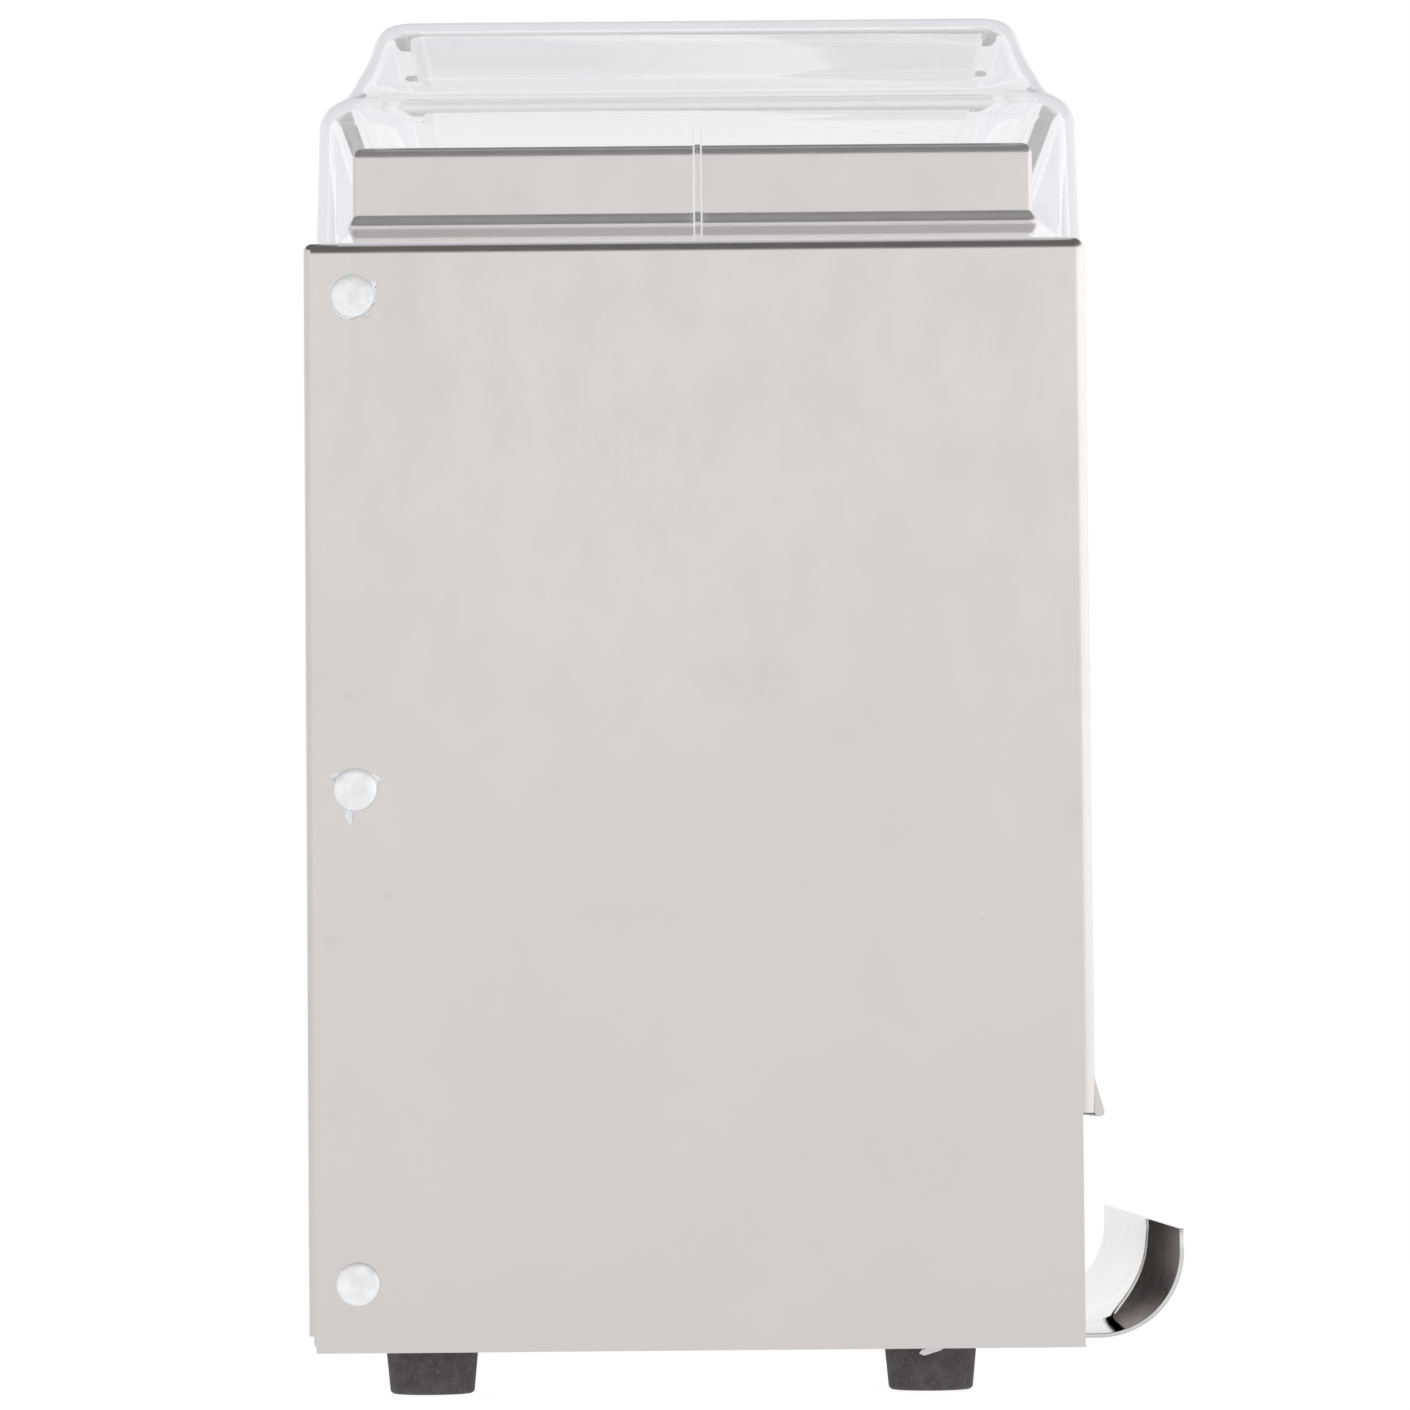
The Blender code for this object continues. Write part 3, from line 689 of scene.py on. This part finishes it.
def make_rivets(material):
    """Big flat-domed heads, each slightly dented in its own way, with the shank and tail."""
    for index, place in enumerate(RIVETS):
        low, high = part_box(f"side_rivet_{place}")
        sign = -1 if place.startswith("left") else 1
        mesh = turned_mesh(f"rivet_{place}", rivet_profile((high.y - low.y) / 2))
        for vert in mesh.vertices:
            if vert.co.z > GAP + 0.0002:
                vert.co.z += DENT * noise.noise(vert.co * 420 + Vector((index * 7.0, 0, 0)))
        middle = ((low.y + high.y) / 2, (low.z + high.z) / 2)
        turn = Matrix.Rotation(sign * pi / 2, 4, "Y")
        mesh.transform(Matrix.Translation((sign * frame_half(), *middle)) @ turn)
        obj = link(f"rivet_{place}", mesh, material)
        smooth(obj, 40)
        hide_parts(f"side_rivet_{place}")


# ---------------------------------------------------------------- torn film
# Each shred: the angle and reach of its outline round the rivet's middle, in degrees and mm
SHREDS = {
    "left_upper": (
        ((140, 5.6), (150, 6.3), (160, 6.5), (168, 6.2), (178, 5.6)),
        ((196, 5.6), (210, 6.1), (235, 6.2), (262, 6.1), (280, 5.6)),
        ((40, 5.6), (34, 7.2), (29, 7.5), (20, 6.2), (8, 6.4), (-4, 6.1), (-16, 6.3), (-24, 5.6)),
        ((-40, 5.6), (-50, 6.6), (-58, 6.5), (-66, 5.6)),
    ),
    "left_middle": (
        ((128, 5.5), (142, 6.8), (151, 7.5), (160, 6.2), (170, 5.5)),
        ((50, 5.5), (36, 6.4), (23, 7.1), (12, 5.9), (4, 5.5)),
        ((236, 5.4), (247, 7.2), (256, 8.6), (265, 9.6), (263, 7.0), (272, 5.5)),
    ),
}
# A loose shred over the front left foot: towards the front, and up, in mm
FOOT_SHRED = ((-3.6, -1.1), (-2.2, -1.7), (0.4, -0.9), (2.4, -0.3), (3.7, 0.9), (3.2, 1.5),
              (1.2, 1.0), (-0.6, 1.2), (-1.4, 0.2), (-2.8, -0.1))


FILM_STEPS = 24
FILM_INNER = 5.0           # where a shred starts under the rivet's head, in mm
FILM_SHEET = 0.00008


def between(outline, step):
    """The angle and reach part of the way along a shred's outline."""
    share = step / FILM_STEPS * (len(outline) - 1)
    k = min(int(share), len(outline) - 2)
    part = share - k
    return tuple(p + (q - p) * part for p, q in zip(outline[k], outline[k + 1]))


def shred_mesh(name, outline, centre):
    """A ragged strip round part of a rivet's head, lifted unevenly from the panel."""
    bm = bmesh.new()
    inner, outer = [], []
    for step in range(FILM_STEPS + 1):
        angle, reach = between(outline, step)
        reach += random.uniform(0.1, 0.5) if 0 < step < FILM_STEPS else 0
        way = Vector((0, -cos(radians(angle)), sin(radians(angle))))
        lift = random.uniform(0.0001, 0.0007)
        inner.append(bm.verts.new(centre + way * FILM_INNER * MM + Vector((-0.0001, 0, 0))))
        outer.append(bm.verts.new(centre + way * reach * MM + Vector((-lift, 0, 0))))
    for n in range(FILM_STEPS):
        bm.faces.new((inner[n], inner[n + 1], outer[n + 1], outer[n]))
    bmesh.ops.recalc_face_normals(bm, faces=bm.faces)
    return to_mesh(bm, name)


def make_film(material):
    """The shreds round two rivets, and the loose one on the front left foot."""
    random.seed(7)
    for place, shreds in SHREDS.items():
        low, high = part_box(f"side_rivet_{place}")
        centre = Vector((-frame_half() - 0.00005, (low.y + high.y) / 2, (low.z + high.z) / 2))
        for number, outline in enumerate(shreds, start=1):
            name = f"film_{place}_{number}"
            mesh = shred_mesh(name, outline, centre)
            obj = link(name, mesh, material)
            add_thickness(obj, FILM_SHEET, 0.0)
            bake(obj)
            smooth(obj, 60)
    low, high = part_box("foot_front_left")
    middle = (low.y + high.y) / 2
    outline = [(middle - front * MM, high.z - 0.0016 + up * MM) for front, up in FOOT_SHRED]
    mesh = prism_mesh(outline, low.x - 0.0003, 0.0001)
    link("film_foot", mesh, material)


# ---------------------------------------------------------------- lid
LID_WALL = 0.0026
LID_CORNER = 0.0062
# How far in from the rim, and how high above it, with rounded stretches between
LID_PROFILE = (
    (0.0000, 0.0000), (0.0005, 0.0150), (0.0009, 0.0300), (0.0013, 0.0340), (0.0028, 0.0374),
    (0.0052, 0.0398), (0.0076, 0.0416), (0.0094, 0.0440), (0.0108, 0.0469), (0.0127, 0.0505),
    (0.0143, 0.0542), (0.0156, 0.0583), (0.0170, 0.0611), (0.0194, 0.0632), (0.0232, 0.0640),
)


def curve_through(points, parts=4):
    """Catmull-Rom curve through the points."""
    ends = [points[0], *points, points[-1]]
    out = []
    for a, b, c, d in zip(ends, ends[1:], ends[2:], ends[3:]):
        for n in range(parts):
            t = n / parts
            out.append(tuple(0.5 * (2 * q + (r - p) * t + (2 * p - 5 * q + 4 * r - s) * t * t
                                    + (3 * q - p - 3 * r + s) * t ** 3)
                             for p, q, r, s in zip(a, b, c, d)))
    out.append(points[-1])
    return out


RIB_HALF = 0.0012
RIB_REACH = 0.0040
RIB_RISE = (0.0010, 0.0315)


def rib_mesh(sign, wall, middle, rim):
    """An upright rib with a rounded nose on the inside of an end wall."""
    bm = bmesh.new()
    nose = arc((wall - RIB_REACH + RIB_HALF, 0), RIB_HALF, 90, 270, 10)
    outline = [(wall, RIB_HALF), *nose, (wall, -RIB_HALF)]
    rings = [[bm.verts.new((sign * x, middle + y, rim + rise)) for x, y in outline]
             for rise in RIB_RISE]
    join_rings(bm, rings)
    for ring in rings:
        bm.faces.new(ring)
    bmesh.ops.recalc_face_normals(bm, faces=bm.faces)
    return to_mesh(bm, "rib")


def make_lid(material):
    """The clear moulding: a thin wall drawn up from the rim to the flat top, and two ribs."""
    low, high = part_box("lid")
    bm = bmesh.new()
    rings = [rounded_ring(bm, low, high, inset, low.z + rise, LID_CORNER)
             for inset, rise in curve_through(LID_PROFILE)]
    join_rings(bm, rings)
    bm.faces.new(rings[-1])
    bmesh.ops.recalc_face_normals(bm, faces=bm.faces)
    obj = link("lid_moulding", to_mesh(bm, "lid_moulding"), material, body="lid")
    add_thickness(obj, LID_WALL)
    bake(obj)
    middle = (low.y + high.y) / 2
    for sign in (-1, 1):
        cut(obj, rib_mesh(sign, high.x - LID_WALL * 0.6 - 0.001, middle, low.z), operation="UNION")
    smooth(obj, 35)
    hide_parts("lid")


# ---------------------------------------------------------------- studio
def toward(nodes, direction, middle, wide, narrow):
    """1 within narrow degrees of a direction, falling to 0 at wide degrees."""
    dot = nodes.add("ShaderNodeVectorMath", operation="DOT_PRODUCT")
    nodes.put(direction, dot.inputs[0])
    dot.inputs[1].default_value = Vector(middle).normalized()
    return nodes.range(dot.outputs["Value"], cos(radians(wide)), cos(radians(narrow)))


CEILING_WAY = (-0.12, 0.0, 0.993)
CEILING_REACH = (75, 49)   # degrees from there where the dark fades out, and where it is full
CEILING_LEVEL = 0.14
ROOM_WHITE = (1.0, 0.997, 0.992, 1)


def make_world():
    """A white room whose darker ceiling shows only in reflections; plain white wherever the
    camera looks past the object."""
    world = bpy.data.worlds.new("studio")
    bpy.context.scene.world = world
    world.use_nodes = True
    nodes = Nodes(world.node_tree)
    direction = nodes.add("ShaderNodeTexCoord").outputs["Generated"]
    split = nodes.add("ShaderNodeSeparateXYZ")
    nodes.put(direction, split.inputs[0])
    _, y, z = split.outputs
    path = nodes.add("ShaderNodeLightPath")
    reflected = nodes.math("GREATER_THAN", path.outputs["Glossy Depth"], 0.5)
    overhead = toward(nodes, direction, CEILING_WAY, *CEILING_REACH)
    patch = nodes.math("MULTIPLY", reflected, overhead)
    ceiling = nodes.range(patch, 0.0, 1.0, 1.0, CEILING_LEVEL, smooth=False)
    horizon = nodes.range(z, -0.10, 0.15, 0.83, 1.04)
    front = nodes.range(y, -0.30, -0.85, 1.0, 1.36)
    rear = nodes.range(y, 0.30, 0.80, 1.0, 0.88)
    sides = nodes.math("MULTIPLY", front, rear)
    level = nodes.math("MULTIPLY", nodes.math("MULTIPLY", ceiling, horizon), sides)
    background = world.node_tree.nodes["Background"]
    seen = path.outputs["Is Camera Ray"]
    nodes.put(nodes.mix(seen, ROOM_WHITE, (1, 1, 1, 1)), background.inputs["Color"])
    nodes.put(nodes.range(seen, 0.0, 1.0, level, 1.0, smooth=False), background.inputs["Strength"])


FLOOR_MIDDLE = (-1.35, 0.0, -0.0002)
FLOOR_RADIUS = 2.3
FLOOR_GLOW = (0.80, 0.92)  # in reflections, and as seen


def make_floor():
    """Pale floor that is almost white, so that the feet still ground the object a little."""
    bm = bmesh.new()
    bmesh.ops.create_circle(bm, cap_ends=True, segments=96, radius=FLOOR_RADIUS)
    obj = bpy.data.objects.new("floor", to_mesh(bm, "floor"))
    bpy.context.scene.collection.objects.link(obj)
    obj.location = FLOOR_MIDDLE
    material, nodes, shader = new_material("floor_paper", 0.0, 0.9, (0.12, 0.12, 0.12, 1))
    shader.inputs["Emission Color"].default_value = (1, 1, 1, 1)
    path = nodes.add("ShaderNodeLightPath")
    glow = nodes.range(path.outputs["Is Camera Ray"], 0.0, 1.0, *FLOOR_GLOW, smooth=False)
    nodes.put(glow, shader.inputs["Emission Strength"])
    obj.data.materials.append(material)


# ---------------------------------------------------------------- assembly
make_camera()
STEEL = brushed_steel()
POLISHED = polished_steel()
ALUMINIUM = aluminium()
ZINC = zinc()
RUBBER = rubber()
CLEAR = clear_plastic()
FILM = film()
FINISHES = {"brushed_steel": STEEL, "polished_steel": POLISHED, "rivet_aluminium": ALUMINIUM,
            "zinc_plated_steel": ZINC, "foot_rubber": RUBBER, "clear_plastic": CLEAR}

for part in frame["record"]["subparts"]:
    node = frame["nodes"][part["node"]]
    node.data.materials.clear()
    node.data.materials.append(FINISHES[part["material_slot"]])

make_wrap(STEEL)
make_back(STEEL)
make_collar(STEEL)
make_catch(POLISHED)
make_feet(RUBBER)
make_rivets(ALUMINIUM)
make_film(FILM)
make_lid(CLEAR)

make_world()
make_floor()
bpy.context.scene.view_settings.view_transform = "Standard"
